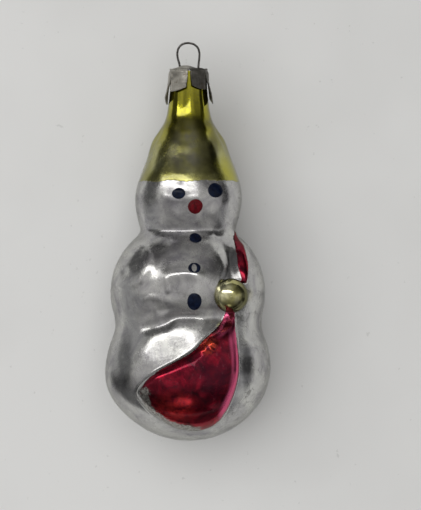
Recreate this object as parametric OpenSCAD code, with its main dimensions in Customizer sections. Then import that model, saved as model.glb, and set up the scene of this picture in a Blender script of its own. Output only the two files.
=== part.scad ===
// Hanging snowman ornament of silvered blown glass, with a tin crown cap and a wire hanger.
// Z runs up along the neck, the face looks towards -Y, and the origin is the point inside
// the wire loop that a hook bears on.

/* [Glass] */
// Outer radius of the glass neck under the cap
neck_r = 4.65; // [4.5:0.05:5]
// Thickness of the blown glass wall
wall = 0.8; // [0.5:0.1:1]
// Largest radius of the torso
torso_r = 19.7; // [19.4:0.1:20]
// Largest radius of the belly
belly_r = 20.9; // [20.5:0.1:21.5]
// Height from the middle of the belly to the bottom of the ornament
belly_h = 19.2; // [18.5:0.1:20.5]

/* [Coats] */
// Thickness of a lacquer coat on the outside of the glass
coat = 0.1; // [0.05:0.05:0.2]
// Thickness of the mirror film on the inside of the glass
film = 0.1; // [0.05:0.05:0.15]
// Angle from the front, towards +X, at which the nose and the buttons lie
face_turn = 8; // [0:1:15]
// How far a dab of enamel stands proud of the glass
dab_proud = 0.35; // [0.2:0.05:0.5]

/* [Relief] */
// Height of the sack above the belly
sack_proud = 2.2; // [1.5:0.1:3]
// Radius of the ball-shaped mitten
mitten_r = 4.35; // [4:0.05:4.6]

/* [Cap] */
// Thickness of the tin
tin = 0.25; // [0.2:0.05:0.3]
// Gap between the cap and the neck, on the radius
cap_gap = 0.05; // [0.03:0.01:0.08]
// Number of petals of the crown
petals = 6; // [4:2:8]
// Width of the slit between two petals, at the top
slit_w = 0.7; // [0.5:0.1:1]

/* [Hanger] */
// Diameter of the wire
wire_d = 0.55; // [0.45:0.05:0.6]
// Radius of the loop, to the middle of the wire
loop_r = 2.78; // [2.7:0.01:2.9]
// Length of a leg below the cap
leg_l = 17; // [12:1:18]

/* [Hidden] */
$fn = 96;

// Heights, all below the origin
lip_z = -6.75;
brim_z = -35.3;
crease_z = -47.8;
torso_z = -63.6;
waist_z = -72.4;
belly_z = -82.3;
bottom_z = belly_z - belly_h;

// Radii and half heights that the outline uses
crease_r = 12;
torso_h = 19;
waist_r = 18.6;
inside = wall + film;

// Where the arcs of the torso and the belly start and end, as angles below their middles
torso_arc = [-49, 18];
belly_arc = [-24, 84];
knot_steps = 3;
torso_steps = 13;
belly_steps = 21;

// The hat and head, from the foot of the straight neck to the crease under the head, as radius and height
HEAD_KNOTS = [
    [neck_r, -10.6], [5.2, -16], [6, -19.5], [7.4, -22.1], [9.2, -24.8],
    [10.9, -29.8], [12.7, -34.9], [13.5, -39.2], [13.1, -43.2], [crease_r, crease_z]
];

// The sack: its bulb, and the throat that rises from it to the mitten
sack_bulb = [1.3, -86.8];
sack_outline_r = 11.6;
throat_low = [5.4, -14.6, -80.5];
throat_high = [9.9, -16.3, -70];
throat_end = [10.7, -17, -66];
throat_low_r = 7.3;
throat_high_r = 1.5;
throat_end_r = 1.2;
throat_lap = 0.3;
throat_step = 0.25;

// The sack's mouth above the mitten, a ridge on the side of the torso
mouth_turn = 53;
mouth_up = 30;
mouth_roll = 26;
mouth_ring_r = 11;
mouth_r = 1.5;
mouth_proud = 0.9;

// The mitten, and the other arm, a broad ridge that hangs from the shoulder
mitten_turn = 32;
mitten_out = 20.3;
mitten_z = -64.2;
arm_turn = -62;
arm_up = 10;
arm_roll = 0;
arm_ring_r = 9;
arm_r = 5.5;
arm_proud = 1.4;

// Enamel dabs: the turn, then the radius, height and backward lean of the glass there, then the width
LEFT_EYE = [face_turn - 18, 13.5, -38.3, 2, 4];
RIGHT_EYE = [face_turn + 22, 13.5, -37.8, 2, 4];
NOSE = [face_turn, 13.3, -41.8, -8, 3.8];
TOP_BUTTON = [face_turn, 13.4, -49.7, 47, 3.2];
MIDDLE_BUTTON = [face_turn - 3, 18.5, -57.2, 20, 3.7];
BOTTOM_BUTTON = [face_turn - 3, 19.6, -65.6, -6, 4.2];
dab_fn = 300;

// Cap
cap_r = neck_r + coat + cap_gap;
crown_z = lip_z + cap_gap;
tent_h = 0.7;
skirt_z = -14.4;
skirt_r = 5.85;
belt_z = -10.5;
slit_spread = 2.4;
slot_w = 0.75;
slot_from = 2.15;
slot_to = 3.25;

// Hanger
wire_r = wire_d / 2;
lean = 11;
leg_spread = 3;
knee_r = 1;
shoulder_l = 2.6;
knee_turn = lean + leg_spread;

// A smooth curve through a list of points, with n steps between two of them
function point(p, i) = p[min(max(i, 0), len(p) - 1)];
function between(a, b, c, d, t) =
    (2 * b + (c - a) * t + (2 * a - 5 * b + 4 * c - d) * t * t + (3 * b - a - 3 * c + d) * t * t * t) / 2;
function curve(p, n) = [
    for (i = [0 : len(p) - 2], k = [0 : n - 1])
        between(point(p, i - 1), p[i], p[i + 1], point(p, i + 2), k / n)
];

// Part of an oval round a height z on the axis, from an angle above it to an angle below it
function oval(r, h, z, arc, n) = [
    for (i = [0 : n])
        let (a = arc[0] + (arc[1] - arc[0]) * i / n)
        [r * cos(a), z - h * sin(a)]
];

// The half outline of the glass, from the lip down to the bottom
OUTLINE = concat(
    [[neck_r, lip_z]],
    curve(HEAD_KNOTS, knot_steps),
    [[crease_r, crease_z]],
    oval(torso_r, torso_h, torso_z, torso_arc, torso_steps),
    [[waist_r, waist_z]],
    oval(belly_r, belly_h, belly_z, belly_arc, belly_steps),
    [[0, bottom_z]]
);

// The outline moved inwards by d, at right angles to itself
function along(i) = point(OUTLINE, i + 1) - point(OUTLINE, i - 1);
function moved(i, d) =
    let (t = along(i) / norm(along(i)))
    OUTLINE[i] + d * [t[1], -t[0]];
function inset(d) = concat(
    [OUTLINE[0] - [d, 0]],
    [for (i = [1 : len(OUTLINE) - 2]) moved(i, d)],
    [[0, bottom_z + d]]
);

// The plain body of revolution, d inside the glass, up to a height
module turned(d, top) {
    rotate_extrude()
        polygon(concat([[0, top], [neck_r - d, top]], inset(d)));
}

// Turns its children from the front towards +X
module around(turn) {
    rotate([0, 0, turn])
        children();
}

// A cone between two points
module cone_between(a, b, ra, rb) {
    v = b - a;
    translate(a)
        rotate([0, acos(v[2] / norm(v)), atan2(v[1], v[0])])
        cylinder(r1 = ra, r2 = rb, h = norm(v));
}

// The bulb of the sack: a ball whose cap rises sack_proud above the belly
module bulb_form(d) {
    reach = norm([sack_bulb[0], sack_bulb[1] - belly_z]);
    deep = sqrt(pow(belly_r, 2) - pow(sack_outline_r, 2));
    rise = belly_r + sack_proud - deep;
    ball_r = (pow(sack_outline_r, 2) + pow(rise, 2)) / (2 * rise);
    out = sqrt(pow(belly_r, 2) - pow(reach, 2));
    toward = [sack_bulb[0], -out, sack_bulb[1] - belly_z] / belly_r;
    translate([0, 0, belly_z] + toward * (belly_r + sack_proud - ball_r))
        rotate([90, 0, 0])
        sphere(r = ball_r - d);
}

// The throat: two cones, each of which starts or ends inside the other
module throat_form(d) {
    tuck = throat_high + throat_lap * (throat_high - throat_end);
    cone_between(throat_low, throat_high, throat_low_r - d, throat_high_r - throat_step - d);
    cone_between(tuck, throat_end, throat_high_r - d, throat_end_r - d);
}

module sack_form(d) {
    bulb_form(d);
    throat_form(d);
}

module mitten_form(d) {
    around(mitten_turn)
        translate([0, -mitten_out, mitten_z])
        rotate([90, 0, 0])
        sphere(r = mitten_r - d);
}

// A ridge on the torso: the part of a ring that rises above the glass, at a turn and an angle
// upwards, and leaning over by roll
module ridge(turn, up, roll, ring_r, tube_r, proud) {
    around(turn)
        translate([0, 0, torso_z])
        rotate([-up, 0, 0])
        rotate([0, roll, 0])
        translate([0, ring_r + tube_r - torso_h - proud, 0])
        rotate([0, 90, 0])
        rotate_extrude()
        translate([ring_r, 0])
        circle(r = tube_r);
}

module mouth_form(d) {
    ridge(mouth_turn, mouth_up, mouth_roll, mouth_ring_r, mouth_r - d, mouth_proud - d);
}

module arm_form() {
    ridge(arm_turn, arm_up, arm_roll, arm_ring_r, arm_r, arm_proud);
}

// The outside of the glass
module glass_form() {
    turned(0, lip_z);
    sack_form(0);
    mitten_form(0);
    mouth_form(0);
    arm_form();
}

// The inside of the glass, blown out into the sack and the mitten
module hollow_form(d) {
    turned(d, lip_z + 1);
    bulb_form(d);
    mitten_form(d);
}

module glass_shell() {
    color("gainsboro", 0.5)
        difference() {
            glass_form();
            hollow_form(wall);
        }
}

module silver_film() {
    color("silver")
        intersection() {
            difference() {
                hollow_form(wall);
                hollow_form(inside);
            }
            translate([-belly_r, -2 * belly_r, bottom_z])
                cube([2 * belly_r, 4 * belly_r, lip_z - bottom_z]);
        }
}

module hat_lacquer() {
    color("darkkhaki")
        intersection() {
            difference() {
                turned(-coat, lip_z);
                turned(0, lip_z + 1);
            }
            translate([0, 0, brim_z])
                cylinder(r = belly_r, h = lip_z - brim_z);
        }
}

module sack_lacquer() {
    color("crimson")
        difference() {
            sack_form(-coat);
            turned(0, lip_z);
            sack_form(0);
            mitten_form(-coat);
        }
}

module sack_mouth_lacquer() {
    color("firebrick")
        difference() {
            mouth_form(-coat);
            turned(0, lip_z);
            mouth_form(0);
        }
}

module mitten_lacquer() {
    color("goldenrod")
        difference() {
            mitten_form(-coat);
            turned(0, lip_z);
            mitten_form(0);
            sack_form(0);
        }
}

// A dab of enamel: the part of a ball that rises above the plain glass
module dab(place) {
    $fn = dab_fn;
    turn = place[0];
    r = place[1];
    z = place[2];
    lean_back = place[3];
    w = place[4];
    ball_r = 1 / (8 * dab_proud / pow(w, 2) + 1 / r);
    difference() {
        around(turn)
            translate([0, -r, z])
            rotate([-lean_back, 0, 0])
            translate([0, ball_r - dab_proud, 0])
            rotate([90, 0, 0])
            sphere(r = ball_r);
        turned(0, lip_z);
    }
}

module left_eye() {
    color("midnightblue")
        dab(LEFT_EYE);
}

module right_eye() {
    color("midnightblue")
        dab(RIGHT_EYE);
}

module nose() {
    color("darkred")
        dab(NOSE);
}

module button_top() {
    color("midnightblue")
        dab(TOP_BUTTON);
}

module button_middle() {
    color("midnightblue")
        dab(MIDDLE_BUTTON);
}

module button_bottom() {
    color("midnightblue")
        dab(BOTTOM_BUTTON);
}

// The cap's section: a tented top and a skirt that flares away from the neck
module cap_section() {
    polygon([
        [0, crown_z + tent_h], [cap_r, crown_z], [cap_r, belt_z], [skirt_r, skirt_z],
        [skirt_r + tin, skirt_z], [cap_r + tin, belt_z], [cap_r + tin, crown_z],
        [cap_r + tin / 2, crown_z + tin], [0, crown_z + tent_h + tin]
    ]);
}

// The wedge of air between two petals
module slit() {
    depth = crown_z - tin - skirt_z;
    translate([0, 0, crown_z - tin])
        rotate([90, 0, 0])
        linear_extrude(height = 2 * skirt_r)
        polygon([
            [-slit_w / 2, 0], [slit_w / 2, 0],
            [slit_spread / 2, -depth - tin], [-slit_spread / 2, -depth - tin]
        ]);
}

// The slot that a leg of the hanger passes through
module leg_slot() {
    high = 2 * tent_h + tin;
    translate([slot_from, -slot_w / 2, crown_z - tin])
        cube([slot_to - slot_from, slot_w, high]);
    for (x = [slot_from, slot_to])
        translate([x, 0, crown_z - tin])
        cylinder(d = slot_w, h = high);
}

module cap() {
    color("rosybrown")
        difference() {
            rotate_extrude()
                cap_section();
            for (i = [0 : petals - 1])
                around(i * 360 / petals)
                slit();
            for (side = [0, 180])
                around(side)
                leg_slot();
        }
}

// Half of the hanger: a quarter of the loop, the shoulder, the knee at the cap and the leg
module half_hanger() {
    translate([0, 0, wire_r - loop_r])
        rotate([0, lean, 0]) {
            rotate([90, 0, 0])
                rotate_extrude(angle = 90 + lean)
                translate([loop_r, 0])
                circle(r = wire_r);
            translate([loop_r, 0, -shoulder_l])
                cylinder(r = wire_r, h = shoulder_l);
            translate([loop_r + knee_r, 0, -shoulder_l]) {
                rotate([90, 0, 0])
                    rotate_extrude(angle = knee_turn, start = 180)
                    translate([knee_r, 0])
                    circle(r = wire_r);
                rotate([0, -knee_turn, 0])
                    translate([-knee_r, 0, -leg_l])
                    cylinder(r = wire_r, h = leg_l);
            }
        }
}

module hanger_wire() {
    color("dimgray") {
        half_hanger();
        mirror([1, 0, 0])
            half_hanger();
    }
}

glass_shell();
silver_film();
hat_lacquer();
sack_lacquer();
sack_mouth_lacquer();
mitten_lacquer();
left_eye();
right_eye();
nose();
button_top();
button_middle();
button_bottom();
cap();
hanger_wire();
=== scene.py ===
"""The looks of a silvered blown-glass snowman ornament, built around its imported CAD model.

Lengths in the upper part of the script are in millimetres, in the CAD frame: +Z up along the neck,
the face towards -Y, the origin inside the top of the wire loop. MM turns them into metres.
"""

import math

import bpy
import numpy as np
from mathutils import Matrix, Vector


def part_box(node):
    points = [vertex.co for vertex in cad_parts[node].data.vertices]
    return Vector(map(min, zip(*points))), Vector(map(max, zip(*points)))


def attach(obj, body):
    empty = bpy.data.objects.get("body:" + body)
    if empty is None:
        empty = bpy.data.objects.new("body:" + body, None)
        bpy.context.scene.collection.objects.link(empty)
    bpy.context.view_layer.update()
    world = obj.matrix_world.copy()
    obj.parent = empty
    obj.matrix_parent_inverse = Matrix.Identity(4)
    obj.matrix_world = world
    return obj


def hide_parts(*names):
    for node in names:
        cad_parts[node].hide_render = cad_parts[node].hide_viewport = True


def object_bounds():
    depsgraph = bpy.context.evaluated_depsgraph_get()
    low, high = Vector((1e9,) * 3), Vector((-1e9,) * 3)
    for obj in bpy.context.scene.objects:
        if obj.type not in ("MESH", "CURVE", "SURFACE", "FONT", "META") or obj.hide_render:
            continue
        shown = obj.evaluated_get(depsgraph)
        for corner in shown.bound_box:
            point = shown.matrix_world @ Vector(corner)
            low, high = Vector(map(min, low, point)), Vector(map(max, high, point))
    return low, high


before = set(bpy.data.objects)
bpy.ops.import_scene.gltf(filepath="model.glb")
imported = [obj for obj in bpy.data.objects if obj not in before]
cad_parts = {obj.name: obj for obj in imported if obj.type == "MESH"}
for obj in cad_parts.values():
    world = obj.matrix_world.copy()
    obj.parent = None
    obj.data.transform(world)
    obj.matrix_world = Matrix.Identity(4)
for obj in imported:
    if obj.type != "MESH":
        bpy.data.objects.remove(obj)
CAD_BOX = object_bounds()
MM = 0.001


def node_box(node):
    """The lowest and highest corner of a CAD node, in millimetres."""
    low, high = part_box(node)
    return np.array(low) / MM, np.array(high) / MM


# ---------------------------------------------------------------- sizes from the CAD model
GLASS_LOW, GLASS_HIGH = node_box("glass_shell")
LIP_Z = GLASS_HIGH[2]
BOTTOM_Z = GLASS_LOW[2]
BRIM_Z = node_box("hat_lacquer")[0][2]
MITTEN_LOW, MITTEN_HIGH = node_box("mitten_lacquer")

# ---------------------------------------------------------------- the glass outline
WALL = 0.8
BODY_WALL, BOTTOM_WALL = 1.7 * WALL, 1.6 * WALL  # room for the relief of the outside
INNER_POLE_R = 0.6
NECK_R = 4.65
CREASE = (12.0, -47.8)
TORSO = dict(r=19.7, h=19.0, z=-63.6, start=-49, end=18)
WAIST = (18.6, -72.4)
BELLY = dict(r=20.9, h=19.2, z=-82.3, start=-24, end=90)
HEAD_KNOTS = [
    (NECK_R, LIP_Z), (4.65, -11), (5.2, -16), (6, -19.5), (7.4, -22.1), (9.2, -24.8), (10.9, -29.8),
    (12.7, -34.9), (13.5, -39.2), (13.1, -43.2), CREASE,
]
CREASE_ROUNDING = 0.42
ROWS, COLUMNS, INNER_ROWS = 400, 440, 60

# ---------------------------------------------------------------- relief, as seen from the front (x, z)
SACK_OUTLINE = [
    (10.2, -67.6), (8.6, -71.0), (4.2, -75.0), (1.5, -77.8), (-2.6, -80.4), (-7.8, -83.3), (-10.9, -86.1),
    (-11.9, -88.6), (-9.6, -92.4), (-5.6, -95.9), (-2.0, -97.6), (2.3, -98.1), (6.1, -96.8), (8.8, -93.6),
    (10.9, -89.2), (12.1, -84.4), (12.2, -80.2), (11.7, -75.9), (11.3, -71.5), (11.2, -67.6),
]
SWIRL = [(3.6, -77.8), (4.4, -76.4), (5.9, -76.0), (6.3, -77.2), (5.3, -77.7), (4.9, -77.0)]
MOUTH_LINE = [  # angle round the axis in degrees, height
    (69, -48.0), (57.5, -50.3), (49.5, -53.5), (45.5, -57), (43.0, -60.6),
]
MOUTH_HALF_WIDTH = 1.55
MITTEN_Z = (MITTEN_LOW[2] + MITTEN_HIGH[2]) / 2
MITTEN_TURN = 32
MITTEN_OUT = 20.3
MITTEN_R = 4.35


def spline(points, count):
    """A smooth open curve through a few points, as an array of `count` points."""
    p = np.array(points, float)
    chord = np.concatenate([[0], np.cumsum(np.sqrt(np.linalg.norm(np.diff(p, axis=0), axis=1)))])
    p_all = np.vstack([2 * p[0] - p[1], p, 2 * p[-1] - p[-2]])
    t_all = np.concatenate([[chord[0] - (chord[1] - chord[0])], chord, [2 * chord[-1] - chord[-2]]])
    out = []
    for t in np.linspace(chord[0], chord[-1], count):
        i = min(max(int(np.searchsorted(chord, t, "right")) - 1, 0), len(p) - 2)
        t0, t1, t2, t3 = t_all[i:i + 4]
        p0, p1, p2, p3 = p_all[i:i + 4]
        a1 = (t1 - t) / (t1 - t0) * p0 + (t - t0) / (t1 - t0) * p1
        a2 = (t2 - t) / (t2 - t1) * p1 + (t - t1) / (t2 - t1) * p2
        a3 = (t3 - t) / (t3 - t2) * p2 + (t - t2) / (t3 - t2) * p3
        b1 = (t2 - t) / (t2 - t0) * a1 + (t - t0) / (t2 - t0) * a2
        b2 = (t3 - t) / (t3 - t1) * a2 + (t - t1) / (t3 - t1) * a3
        out.append((t2 - t) / (t2 - t1) * b1 + (t - t1) / (t2 - t1) * b2)
    return np.array(out)


def around(count):
    """Evenly spaced angles of a full turn."""
    return np.arange(count) * 2 * math.pi / count


def on_circle(r, phi, z):
    """Points at radii, angles from the front and heights, along a last axis."""
    r, phi, z = np.broadcast_arrays(r, phi, z)
    return np.stack([r * np.sin(phi), -r * np.cos(phi), z], axis=-1)


def oval(r, h, z, start, end, count=240):
    """Part of an oval round a height on the axis, from an angle above it to an angle below it."""
    a = np.radians(np.linspace(start, end, count))
    return np.column_stack([r * np.cos(a), z - h * np.sin(a)])


def resample(points, count):
    """The same line with `count` points at even spacing."""
    along = np.concatenate([[0], np.cumsum(np.linalg.norm(np.diff(points, axis=0), axis=1))])
    at = np.linspace(0, along[-1], count)
    return np.column_stack([np.interp(at, along, points[:, k]) for k in range(points.shape[1])])


def rounded(points, sigma):
    """The line with its corners rounded, and its ends kept."""
    step = 0.05
    length = np.linalg.norm(np.diff(points, axis=0), axis=1).sum()
    line = resample(points, int(length / step))
    reach = int(4 * sigma / step)
    weights = np.exp(-0.5 * (np.arange(-reach, reach + 1) * step / sigma) ** 2)
    weights /= weights.sum()
    ends = [2 * line[0] - line[reach:0:-1], line, 2 * line[-1] - line[-2:-reach - 2:-1]]
    padded = np.vstack(ends)
    return np.column_stack([np.convolve(padded[:, k], weights, "valid") for k in range(2)])


OUTLINE = rounded(
    np.vstack([spline(HEAD_KNOTS, 260), oval(**TORSO), [WAIST], oval(**BELLY)]), CREASE_ROUNDING
)
OUTLINE[-1] = [0, BOTTOM_Z]
PROFILE = resample(OUTLINE, ROWS)


# ---------------------------------------------------------------- relief of the glass
def smooth(x, low, high):
    """0 below low, 1 above high, and smooth between them."""
    t = np.clip((x - low) / (high - low), 0, 1)
    return t * t * (3 - 2 * t)


def hill(distance, width):
    """A smooth hill, 1 at no distance, and about 0 beyond 2 widths."""
    return np.exp(-0.5 * (distance / width) ** 2)


def line_distance(x, z, line):
    """The distance from each point to an open line in the front view."""
    best = np.full(x.shape, 1e9)
    for (ax, az), (bx, bz) in zip(line[:-1], line[1:]):
        dx, dz = bx - ax, bz - az
        t = np.clip(((x - ax) * dx + (z - az) * dz) / (dx * dx + dz * dz), 0, 1)
        best = np.minimum(best, np.hypot(x - ax - t * dx, z - az - t * dz))
    return best


def inside(x, z, outline):
    """How many times an upward ray crosses a closed outline, as odd or even."""
    odd = np.zeros(x.shape, bool)
    for (ax, az), (bx, bz) in zip(outline, np.roll(outline, -1, axis=0)):
        crosses = (ax > x) != (bx > x)
        height = az + (x - ax) * (bz - az) / (bx - ax if bx != ax else 1e-9)
        odd ^= crosses & (z < height)
    return odd


SACK_LINE = resample(spline(SACK_OUTLINE, 300), 120)
SWIRL_LINE = resample(spline(SWIRL, 30), 16)


def sack_depth(phi, z, r):
    """How far a point of the glass lies inside the sack's outline, seen from the front."""
    x = r * np.sin(phi)
    closed = np.vstack([SACK_LINE, SACK_LINE[:1]])
    depth = line_distance(x, z, closed)
    depth = np.where(inside(x, z, SACK_LINE), depth, -depth)
    return np.where(np.cos(phi) > 0.1, depth, -9)


def mouth_depth(phi, z, r):
    """How far a point of the glass lies inside the crescent of the sack's mouth."""
    line = spline(MOUTH_LINE, 60)
    middle = np.interp(-z, -line[:, 1], line[:, 0])
    slope = np.interp(-z, -line[:-1, 1], np.diff(line[:, 0]) / np.diff(line[:, 1]))
    lean = 1 / np.sqrt(1 + (np.radians(slope) * r) ** 2)
    around = np.abs(np.degrees(phi) - middle) * np.radians(1) * r * lean
    along = np.clip((z - line[0, 1]) / (line[-1, 1] - line[0, 1]), 0, 1)
    half_width = MOUTH_HALF_WIDTH * np.sin(math.pi * (0.03 + 0.80 * along)) ** 0.9
    past = np.maximum(z - line[0, 1], 0) + np.maximum(line[-1, 1] - z, 0)
    return half_width - np.hypot(around, past * 2)


def waves(phi, z, r):
    """The slight unevenness of glass blown by hand: a few dozen soft waves."""
    draw = np.random.default_rng(11)
    x, y = r * np.sin(phi), -r * np.cos(phi)
    total = np.zeros(x.shape)
    for length, height, count in WAVES:
        for _ in range(count):
            direction = draw.normal(size=3)
            direction /= np.linalg.norm(direction)
            phase = draw.uniform(0, 2 * math.pi)
            across = x * direction[0] + y * direction[1] + z * direction[2]
            total += height / math.sqrt(count) * 1.4 * np.sin(2 * math.pi * across / length + phase)
    return total


WAVES = [(34, 0.16, 6), (17, 0.055, 10), (9, 0.020, 16), (5, 0.007, 20)]  # length, height, count
GROOVES = [  # points seen from the front, depth and width of each groove or, if negative, each fold
    ([(6.4, -49.4), (9.4, -52.6), (10.8, -56.4), (9.6, -60.6)], 0.85, 1.25),
    ([(-11.4, -52.6), (-12.6, -56.0), (-14.0, -59.4)], 0.22, 0.7),
    ([(-6.8, -59.8), (-3.0, -58.7), (-0.2, -58.3), (2.2, -58.7)], -0.42, 1.15),
    ([(-9.0, -60.6), (-6.2, -59.7), (-3.0, -58.7), (-0.2, -58.3), (3.4, -58.8), (7.0, -60.0)], -0.22, 1.8),
    ([(-5.7, -60.0), (-5.2, -62.8)], -0.35, 0.5),
    ([(-6.8, -39.2), (-2.6, -40.1), (2.6, -39.5)], -0.14, 0.55),
    ([(-11.5, -72.6), (-9.9, -72.3), (-6.0, -71.2), (-2.9, -69.6), (1.7, -69.5)], 0.60, 1.0),
    ([(-6.0, -71.2), (-2.9, -69.6), (1.7, -69.5), (5.5, -69.5), (7.6, -69.0)], 0.28, 1.0),
    ([(-11.8, -65.0), (-9.6, -64.5), (-7.6, -64.9)], -0.25, 0.6),
]
DENTS = [  # where seen from the front, depth and width of each dent or, if negative, each bump
    (-16.0, -58.4, 0.35, 0.9),
    (-8.6, -67.8, -0.22, 0.7),
    (-13.5, -66.3, 0.30, 1.1),
    (5.6, -43.2, -0.20, 1.0),
    (-2.2, -36.6, 0.12, 0.8),
    (8.3, -41.6, -0.16, 0.8),
    (-7.5, -43.6, 0.14, 1.3),
    (2.6, -45.0, -0.12, 1.0),
]
ARMS = [  # middle seen from the front, half width, half height, rise
    (-16.2, -55.6, 7.0, 6.9, 0.48),
    (16.5, -56.0, 5.4, 8.0, 0.55),
]


SACK_FOOT, SACK_SIDE = 0.55, 3.0  # how far the sack's side reaches out of its outline, and its width
SACK_RISE, SACK_CROWN, THROAT_RISE = 2.0, 0.5, 1.0
HAT_LEAN = 0.075  # how far the front of the hat leans back for each millimetre of height
HAT_LEAN_Z = -33.5
BELLY_RISE, BELLY_Z = 1.5, -88
SWIRL_RISE, SWIRL_WIDTH = 0.26, 0.36
MOUTH_RISE = 1.35


def surface_marks(x, z):
    """The arms, grooves, folds, dents and bumps of the front, as seen from it."""
    out = np.zeros(x.shape)
    for cx, cz, w, h, rise in ARMS:
        q = np.hypot((x - cx) / w, (z - cz) / h)
        out += rise * smooth(1.12 - q, 0, 0.24)
    for line, deep, width in GROOVES:
        left = min(point[0] for point in line)
        run_in = smooth(x, left - width, left + 2 * width)
        away = line_distance(x, z, resample(spline(line, 24), 12))
        out -= deep * hill(away, width) * run_in
    for cx, cz, deep, width in DENTS:
        out -= deep * hill(np.hypot(x - cx, z - cz), width)
    return out + SWIRL_RISE * hill(line_distance(x, z, SWIRL_LINE), SWIRL_WIDTH)


def sack_relief(depth, z):
    """The sack's steep side, its gentle crown, and its throat above the waist."""
    t = np.clip((depth + SACK_FOOT) / SACK_SIDE, 0, 1)
    t = t * t / (t + 0.07) * 1.07
    side = SACK_RISE * (1 - (1 - t) ** 2.3)
    crown = SACK_CROWN * smooth(depth, 0.5, 9)
    return side + crown + THROAT_RISE * smooth(depth, -0.9, 0.9) * hill(z - WAIST[1], 3.2)


def relief(phi, z, r):
    """How far the glass stands out from the plain body of revolution."""
    x = r * np.sin(phi)
    front = smooth(np.cos(phi), 0.0, 0.35)
    out = waves(phi, z, r) * smooth(-z, 14, 24) * smooth(r, 1, 5)
    out -= HAT_LEAN * np.clip(z - HAT_LEAN_Z, 0, 9) * smooth(-z, 20, 24.5) * front
    out += surface_marks(x, z) * front
    out += BELLY_RISE * hill(z - BELLY_Z, 6.0) * smooth(8 - x, 0, 8) * front
    out += sack_relief(sack_depth(phi, z, r), z)
    return out + MOUTH_RISE * smooth(mouth_depth(phi, z, r), -0.7, 1.2)


def waist_lift(phi):
    """The crease above the belly runs higher at the front than at the sides."""
    return 2.7 * smooth(np.cos(phi), 0.72, 1.0)


def radius_at(phi, z):
    """The radius of the glass, towards an angle round the axis and at a height."""
    lift = waist_lift(phi) * hill(z - WAIST[1] - 1.5, 4.5)
    r = np.interp(-(z - lift), -PROFILE[:, 1], PROFILE[:, 0])
    return r + relief(phi, z, r)


def on_glass(phi, z):
    """Points of the glass, towards angles round the axis and at heights."""
    return on_circle(radius_at(phi, z), phi, z)


# ---------------------------------------------------------------- mesh helpers
def new_mesh(name, points, faces, material):
    """A mesh from points in metres."""
    mesh = bpy.data.meshes.new(name)
    mesh.from_pydata(np.asarray(points).tolist(), [], [tuple(f) for f in faces])
    mesh.materials.append(material)
    return mesh


def placed(name, data):
    """A new object in the scene."""
    made = bpy.data.objects.new(name, data)
    bpy.context.scene.collection.objects.link(made)
    return made


def make_object(name, points, faces, material, body, replaces=()):
    """A smooth piece from points in millimetres, riding on a CAD body."""
    mesh = new_mesh(name, np.asarray(points) * MM, faces, material)
    mesh.validate()
    mesh.shade_smooth()
    piece = placed(name, mesh)
    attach(piece, body)
    if replaces:
        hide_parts(*replaces)
    return piece


def grid_faces(rows, columns, start=0, closed=True):
    """The quads of a grid of points, closed round its columns."""
    spans = columns if closed else columns - 1
    i, j = np.meshgrid(np.arange(rows - 1), np.arange(spans), indexing="ij")
    i, j = i.ravel(), j.ravel()
    k = (j + 1) % columns
    here, below = i * columns, (i + 1) * columns
    return np.column_stack([here + j, below + j, below + k, here + k]) + start



def band_faces(first, second, count):
    """The quads from one closed ring of points, from its first, to another."""
    j = np.arange(count)
    k = (j + 1) % count
    return np.column_stack([first + j, second + j, second + k, first + k]).tolist()


def split(quads):
    """Each quad as two triangles."""
    return np.vstack([quads[:, [0, 1, 2]], quads[:, [0, 2, 3]]])


def fan_faces(ring, pole, flip):
    """Triangles from a closed ring of points to one point."""
    after = np.roll(ring, -1)
    return [(a, pole, b) if flip else (a, b, pole) for a, b in zip(ring, after)]


def triangle_normals(points, faces):
    a, b, c = (points[faces[:, k]] for k in range(3))
    return np.cross(b - a, c - a)


def point_normals(points, faces):
    """The normal at each point, from the triangles round it."""
    across = triangle_normals(points, faces)
    total = np.zeros_like(points)
    for k in range(3):
        np.add.at(total, faces[:, k], across)
    return total / np.maximum(np.linalg.norm(total, axis=1, keepdims=True), 1e-12)


def clipped(points, faces, field):
    """The part of a triangle mesh where a field over its points is above 0, cut along the line of 0."""
    above = field > 0
    count = above[faces].sum(axis=1)
    kept = [tuple(f) for f in faces[count == 3]]
    points = [p for p in points]
    cuts = {}

    def cut(a, b):
        key = (min(a, b), max(a, b))
        if key not in cuts:
            t = field[key[0]] / (field[key[0]] - field[key[1]])
            t = min(max(t, 0.02), 0.98)
            points.append(points[key[0]] * (1 - t) + points[key[1]] * t)
            cuts[key] = len(points) - 1
        return cuts[key]

    for a, b, c in faces[(count == 1) | (count == 2)].tolist():
        single = above[[a, b, c]].sum() == 1
        while above[a] != single:
            a, b, c = b, c, a
        if single:
            kept.append((a, cut(a, b), cut(a, c)))
        else:
            kept.append((cut(a, b), b, c))
            kept.append((cut(a, b), c, cut(a, c)))
    points, kept = np.array(points), np.array(kept)
    used, kept = np.unique(kept, return_inverse=True)
    return points[used], kept.reshape(-1, 3)


def shell(points, faces, above, below):
    """A closed thin coat: the patch raised by above, its copy lowered by below, and the rim between."""
    normal = point_normals(points, faces)
    n = len(points)
    edges = np.vstack([faces[:, [0, 1]], faces[:, [1, 2]], faces[:, [2, 0]]])
    edge_set = set(map(tuple, edges))
    rim = [(a, b) for a, b in edge_set if (b, a) not in edge_set]
    both = np.vstack([points + above * normal, points - below * normal])
    sides = [(b, a, a + n, b + n) for a, b in rim]
    return both, list(map(tuple, faces)) + list(map(tuple, faces[:, ::-1] + n)) + sides


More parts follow.
